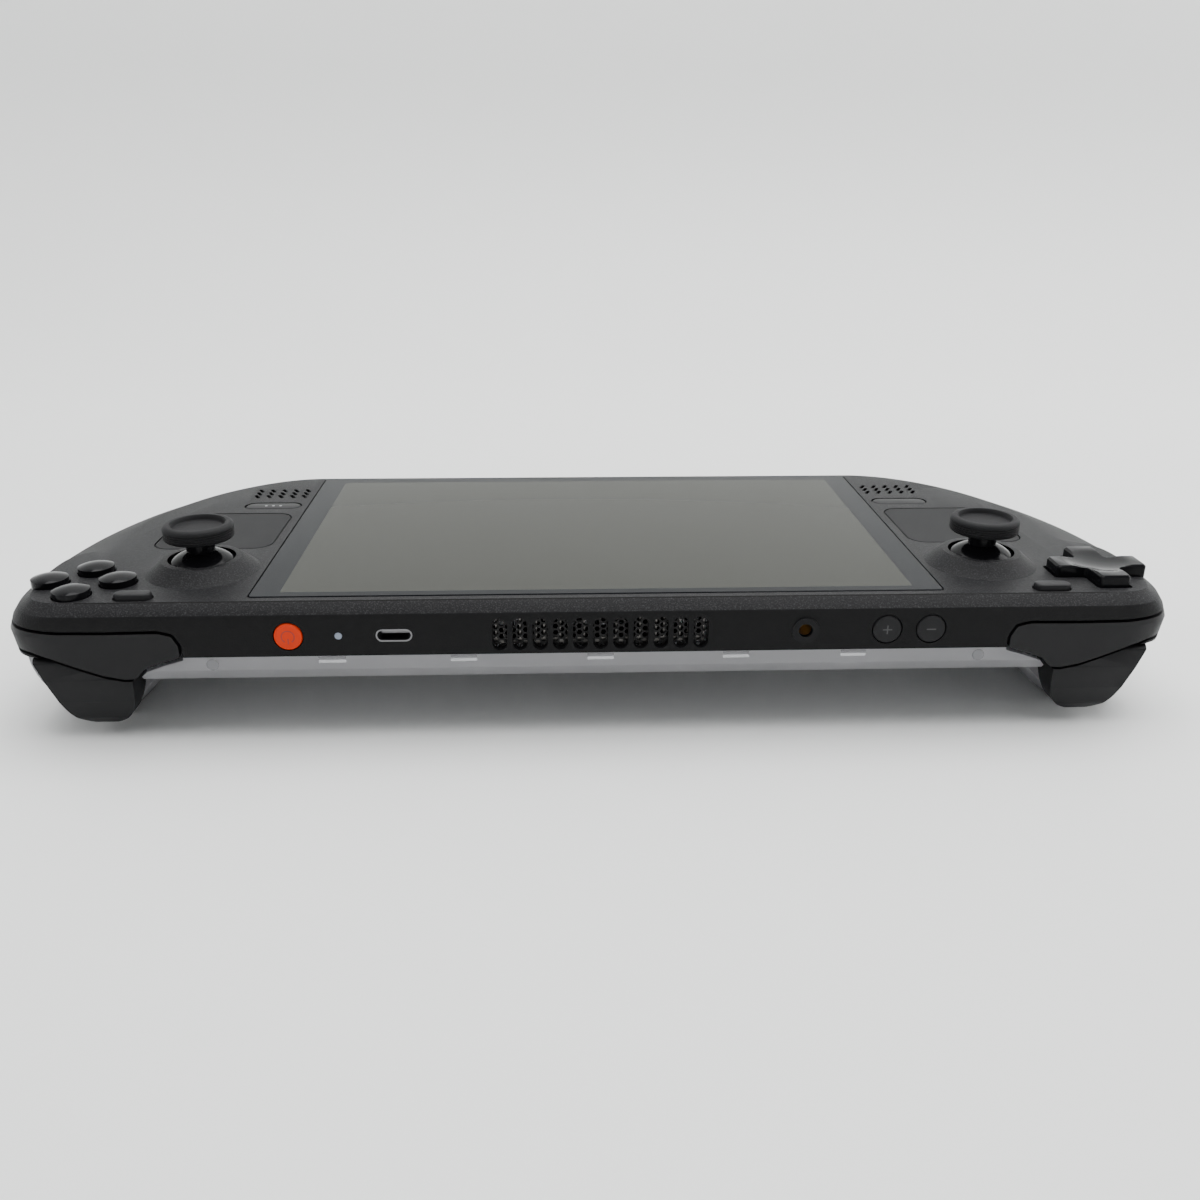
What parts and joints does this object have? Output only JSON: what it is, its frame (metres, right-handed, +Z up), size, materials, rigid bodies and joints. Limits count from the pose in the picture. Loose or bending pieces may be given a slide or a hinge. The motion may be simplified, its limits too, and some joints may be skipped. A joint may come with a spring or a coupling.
{
  "type": "handheld game console",
  "caption": "Handheld game console with a wide display between thumb sticks, buttons and square pads, shoulder buttons and triggers, and two deep rounded grips.",
  "frame": {"origin": "centre of the bounding box in plan, on the surface the two grips rest on", "axes": "+X from the right-hand buttons towards the direction pad, +Y from the edge with the ports towards the player's edge, +Z up out of the display"},
  "size_m": [0.298, 0.117, 0.049],
  "materials": {
    "front_plastic": "fine-textured matt",
    "clear_plastic": "frosted clear",
    "cover_glass": "gloss",
    "display_cells": "gloss",
    "frame_metal": "brushed",
    "board_laminate": "satin",
    "shield_tin": "satin",
    "fin_metal": "satin",
    "inner_plastic": "matt",
    "battery_wrap": "satin",
    "bare_steel": "satin",
    "jack_brass": "satin",
    "mesh_steel": "matt",
    "light_pipe": "frosted",
    "button_plastic": "gloss",
    "satin_plastic": "satin",
    "power_plastic": "satin",
    "grip_rubber": "matt",
    "mat_rubber": "matt",
    "track_plastic": "matt",
    "fan_plastic": "satin",
    "stem_plastic": "gloss"
  },
  "bodies": {
    "console": {"front_shell": "front_plastic", "rear_shell": "clear_plastic", "display_glass": "cover_glass", "display_panel": "display_cells", "mid_frame": "frame_metal", "main_board": "board_laminate", "board_shield": "shield_tin", "heat_sink": "fin_metal", "fan_housing": "inner_plastic", "storage_card": "board_laminate", "battery": "battery_wrap", "card_reader": "bare_steel", "usb_c_port": "bare_steel", "headphone_jack": "jack_brass", "vent_mesh": "mesh_steel", "status_light": "light_pipe", "haptic_motors": "bare_steel", "speakers": "inner_plastic", "face_button_mat": "mat_rubber", "direction_pad_mat": "mat_rubber", "left_trackpad": "track_plastic", "right_trackpad": "track_plastic", "left_control_board": "board_laminate", "right_control_board": "board_laminate", "stick_modules": "inner_plastic", "trigger_brackets": "inner_plastic", "trigger_pins": "bare_steel", "trigger_springs": "bare_steel", "case_screws": "bare_steel"},
    "fan": {"fan_rotor": "fan_plastic"},
    "pad_spider_body": {"pad_spider": "bare_steel"},
    "pad": {"direction_pad": "button_plastic"},
    "left_yoke": {"left_stick_yoke": "inner_plastic"},
    "left_hub": {"left_stick_hub": "inner_plastic"},
    "left_stick": {"left_stick_stem": "stem_plastic", "left_stick_cap": "grip_rubber"},
    "left_bumper_body": {"left_bumper": "satin_plastic"},
    "left_trigger_body": {"left_trigger": "satin_plastic"},
    "left_upper_grip_button_body": {"left_upper_grip_button": "clear_plastic"},
    "left_lower_grip_button_body": {"left_lower_grip_button": "clear_plastic"},
    "right_yoke": {"right_stick_yoke": "inner_plastic"},
    "right_hub": {"right_stick_hub": "inner_plastic"},
    "right_stick": {"right_stick_stem": "stem_plastic", "right_stick_cap": "grip_rubber"},
    "right_bumper_body": {"right_bumper": "satin_plastic"},
    "right_trigger_body": {"right_trigger": "satin_plastic"},
    "right_upper_grip_button_body": {"right_upper_grip_button": "clear_plastic"},
    "right_lower_grip_button_body": {"right_lower_grip_button": "clear_plastic"},
    "top_button_body": {"top_face_button": "button_plastic"},
    "bottom_button_body": {"bottom_face_button": "button_plastic"},
    "outer_button_body": {"outer_face_button": "button_plastic"},
    "inner_button_body": {"inner_face_button": "button_plastic"},
    "menu_button_body": {"menu_button": "satin_plastic"},
    "view_button_body": {"view_button": "satin_plastic"},
    "quick_button_body": {"quick_button": "satin_plastic"},
    "guide_button_body": {"guide_button": "satin_plastic"},
    "power_button_body": {"power_button": "power_plastic"},
    "volume_up_button_body": {"volume_up_button": "satin_plastic"},
    "volume_down_button_body": {"volume_down_button": "satin_plastic"}
  },
  "joints": [
    {"name": "fan_spin", "type": "hinge", "parent": "console", "child": "fan", "pos_m": [0, -0.024, 0.0229], "axis": [0, 0, 1], "continuous": true},
    {"name": "pad_rock_across", "type": "hinge", "parent": "console", "child": "pad_spider_body", "pos_m": [0.1314, -0.0403, 0.0298], "axis": [1, 0, 0], "range_deg": [-4, 4], "stiffness_Nm_per_rad": 0.08},
    {"name": "pad_rock_along", "type": "hinge", "parent": "pad_spider_body", "child": "pad", "pos_m": [0.1314, -0.0403, 0.0298], "axis": [0, 1, 0], "range_deg": [-4, 4], "stiffness_Nm_per_rad": 0.08},
    {"name": "left_stick_fore_aft", "type": "hinge", "parent": "console", "child": "left_yoke", "pos_m": [0.1033, -0.0323, 0.03], "axis": [1, 0, 0], "range_deg": [-18, 18], "stiffness_Nm_per_rad": 0.04},
    {"name": "left_stick_sideways", "type": "hinge", "parent": "left_yoke", "child": "left_hub", "pos_m": [0.1033, -0.0323, 0.03], "axis": [0, 1, 0], "range_deg": [-18, 18], "stiffness_Nm_per_rad": 0.04},
    {"name": "left_stick_click", "type": "slide", "parent": "left_hub", "child": "left_stick", "axis": [0, 0, -1], "range_m": [0, 0.0004], "stiffness_N_per_m": 2000},
    {"name": "left_bumper_press", "type": "hinge", "parent": "console", "child": "left_bumper_body", "pos_m": [0.1066, -0.0516, 0.0244], "axis": [0, 0, 1], "range_deg": [0, 1.2], "stiffness_Nm_per_rad": 2.5},
    {"name": "left_trigger_pull", "type": "hinge", "parent": "console", "child": "left_trigger_body", "pos_m": [0.1285, -0.049, 0.02], "axis": [1, 0, 0], "range_deg": [0, 16], "stiffness_Nm_per_rad": 0.06},
    {"name": "left_upper_grip_press", "type": "slide", "parent": "console", "child": "left_upper_grip_button_body", "axis": [0.6, 0, 0.8], "range_m": [0, 0.0007], "stiffness_N_per_m": 1500},
    {"name": "left_lower_grip_press", "type": "slide", "parent": "console", "child": "left_lower_grip_button_body", "axis": [0.6, 0, 0.8], "range_m": [0, 0.0007], "stiffness_N_per_m": 1500},
    {"name": "right_stick_fore_aft", "type": "hinge", "parent": "console", "child": "right_yoke", "pos_m": [-0.1033, -0.0323, 0.03], "axis": [1, 0, 0], "range_deg": [-18, 18], "stiffness_Nm_per_rad": 0.04},
    {"name": "right_stick_sideways", "type": "hinge", "parent": "right_yoke", "child": "right_hub", "pos_m": [-0.1033, -0.0323, 0.03], "axis": [0, 1, 0], "range_deg": [-18, 18], "stiffness_Nm_per_rad": 0.04},
    {"name": "right_stick_click", "type": "slide", "parent": "right_hub", "child": "right_stick", "axis": [0, 0, -1], "range_m": [0, 0.0004], "stiffness_N_per_m": 2000},
    {"name": "right_bumper_press", "type": "hinge", "parent": "console", "child": "right_bumper_body", "pos_m": [-0.1066, -0.0516, 0.0244], "axis": [0, 0, -1], "range_deg": [0, 1.2], "stiffness_Nm_per_rad": 2.5},
    {"name": "right_trigger_pull", "type": "hinge", "parent": "console", "child": "right_trigger_body", "pos_m": [-0.1285, -0.049, 0.02], "axis": [1, 0, 0], "range_deg": [0, 16], "stiffness_Nm_per_rad": 0.06},
    {"name": "right_upper_grip_press", "type": "slide", "parent": "console", "child": "right_upper_grip_button_body", "axis": [-0.6, 0, 0.8], "range_m": [0, 0.0007], "stiffness_N_per_m": 1500},
    {"name": "right_lower_grip_press", "type": "slide", "parent": "console", "child": "right_lower_grip_button_body", "axis": [-0.6, 0, 0.8], "range_m": [0, 0.0007], "stiffness_N_per_m": 1500},
    {"name": "top_button_press", "type": "slide", "parent": "console", "child": "top_button_body", "axis": [0, 0, -1], "range_m": [0, 0.0012], "stiffness_N_per_m": 500},
    {"name": "bottom_button_press", "type": "slide", "parent": "console", "child": "bottom_button_body", "axis": [0, 0, -1], "range_m": [0, 0.0012], "stiffness_N_per_m": 500},
    {"name": "outer_button_press", "type": "slide", "parent": "console", "child": "outer_button_body", "axis": [0, 0, -1], "range_m": [0, 0.0012], "stiffness_N_per_m": 500},
    {"name": "inner_button_press", "type": "slide", "parent": "console", "child": "inner_button_body", "axis": [0, 0, -1], "range_m": [0, 0.0012], "stiffness_N_per_m": 500},
    {"name": "menu_press", "type": "slide", "parent": "console", "child": "menu_button_body", "axis": [0, 0, -1], "range_m": [0, 0.0008], "stiffness_N_per_m": 1200},
    {"name": "view_press", "type": "slide", "parent": "console", "child": "view_button_body", "axis": [0, 0, -1], "range_m": [0, 0.0008], "stiffness_N_per_m": 1200},
    {"name": "quick_press", "type": "slide", "parent": "console", "child": "quick_button_body", "axis": [0, 0, -1], "range_m": [0, 0.0006], "stiffness_N_per_m": 1200},
    {"name": "guide_press", "type": "slide", "parent": "console", "child": "guide_button_body", "axis": [0, 0, -1], "range_m": [0, 0.0006], "stiffness_N_per_m": 1200},
    {"name": "power_press", "type": "slide", "parent": "console", "child": "power_button_body", "axis": [0, 1, 0], "range_m": [0, 0.0005], "stiffness_N_per_m": 2000},
    {"name": "volume_up_press", "type": "slide", "parent": "console", "child": "volume_up_button_body", "axis": [0, 1, 0], "range_m": [0, 0.0005], "stiffness_N_per_m": 2000},
    {"name": "volume_down_press", "type": "slide", "parent": "console", "child": "volume_down_button_body", "axis": [0, 1, 0], "range_m": [0, 0.0005], "stiffness_N_per_m": 2000}
  ]
}
